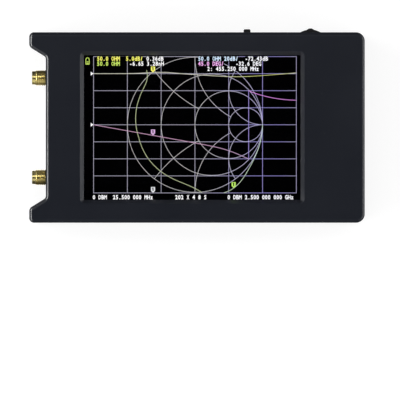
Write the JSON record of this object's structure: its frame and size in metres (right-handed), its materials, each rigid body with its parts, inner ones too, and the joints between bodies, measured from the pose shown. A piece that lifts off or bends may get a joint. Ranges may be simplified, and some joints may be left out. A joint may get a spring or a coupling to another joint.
{
  "type": "antenna analyzer",
  "caption": "Flat hand-held antenna analyzer: black two-shell case with a touch display, threaded coaxial ports between end ears, slide switch and jog lever.",
  "frame": {"origin": "centre of the flat rear face, on the plane that the analyzer lies on", "axes": "+X to the right along the long side and +Y to the upper edge as the display is read, +Z out of the display; the ports point to -X"},
  "size_m": [0.1306, 0.0757, 0.022],
  "materials": {
    "case_plastic": "fine-grained moulded black plastic with a slight blue cast",
    "screw_steel": "blackened steel",
    "insert_brass": "bright knurled brass",
    "board_laminate": "dark blue solder mask on glass-epoxy laminate",
    "sheet_steel": "thin folded nickel-plated sheet",
    "backlight_plastic": "milky acrylic light guide",
    "display_glass": "black display glass",
    "touch_glass": "clear touch panel",
    "black_foam": "closed-cell black foam",
    "flex_film": "amber polyimide film",
    "socket_plastic": "black connector plastic",
    "contact_metal": "tin-plated metal",
    "control_plastic": "black moulded plastic, slightly smoother than the case",
    "pouch_foil": "satin aluminium pouch foil",
    "lead_insulation": "silicone wire insulation",
    "plug_plastic": "natural nylon",
    "chip_epoxy": "black moulded epoxy",
    "port_gold": "gold-plated brass",
    "port_core": "white fluoropolymer"
  },
  "bodies": {
    "case": {"battery_cell": "pouch_foil", "battery_header": "plug_plastic", "battery_lead": "lead_insulation", "battery_plug": "plug_plastic", "battery_tape": "black_foam", "board_screws": "screw_steel", "charge_controller": "chip_epoxy", "clock_generator": "chip_epoxy", "cover_screws": "screw_steel", "crystals": "sheet_steel", "display_backlight": "backlight_plastic", "display_flex": "flex_film", "display_frame": "sheet_steel", "display_gasket": "black_foam", "display_glass": "display_glass", "display_support_pads": "black_foam", "flex_connector": "socket_plastic", "front_cover": "case_plastic", "jog_switch_housing": "socket_plastic", "jog_switch_plate": "sheet_steel", "main_board": "board_laminate", "microcontroller": "chip_epoxy", "mixer_chips": "chip_epoxy", "port_one_contact": "port_gold", "port_one_dielectric": "port_core", "port_one_jack": "port_gold", "port_two_contact": "port_gold", "port_two_dielectric": "port_core", "port_two_jack": "port_gold", "power_switch_body": "sheet_steel", "power_switch_terminals": "contact_metal", "rear_cover": "case_plastic", "rf_shield_covers": "sheet_steel", "rf_shield_frames": "sheet_steel", "signal_converter": "chip_epoxy", "threaded_inserts": "insert_brass", "touch_panel": "touch_glass", "usb_socket_shell": "sheet_steel", "usb_socket_tongue": "socket_plastic"},
    "power_slider": {"power_switch_slider": "control_plastic"},
    "jog_slide": {"jog_plunger": "control_plastic", "jog_pivot_pin": "contact_metal"},
    "jog_arm": {"jog_lever": "control_plastic"}
  },
  "joints": [
    {"name": "power_switch_slide", "type": "slide", "parent": "case", "child": "power_slider", "axis": [-1, 0, 0], "range_m": [0, 0.002]},
    {"name": "jog_press", "type": "slide", "parent": "case", "child": "jog_slide", "axis": [0, -1, 0], "range_m": [0, 0.0004], "stiffness_N_per_m": 5000, "springref_m": -0.0002},
    {"name": "jog_tilt", "type": "hinge", "parent": "jog_slide", "child": "jog_arm", "pos_m": [0.0442, 0.0303, 0.0124], "axis": [0, 0, 1], "range_deg": [-12, 12], "stiffness_Nm_per_rad": 0.05}
  ]
}
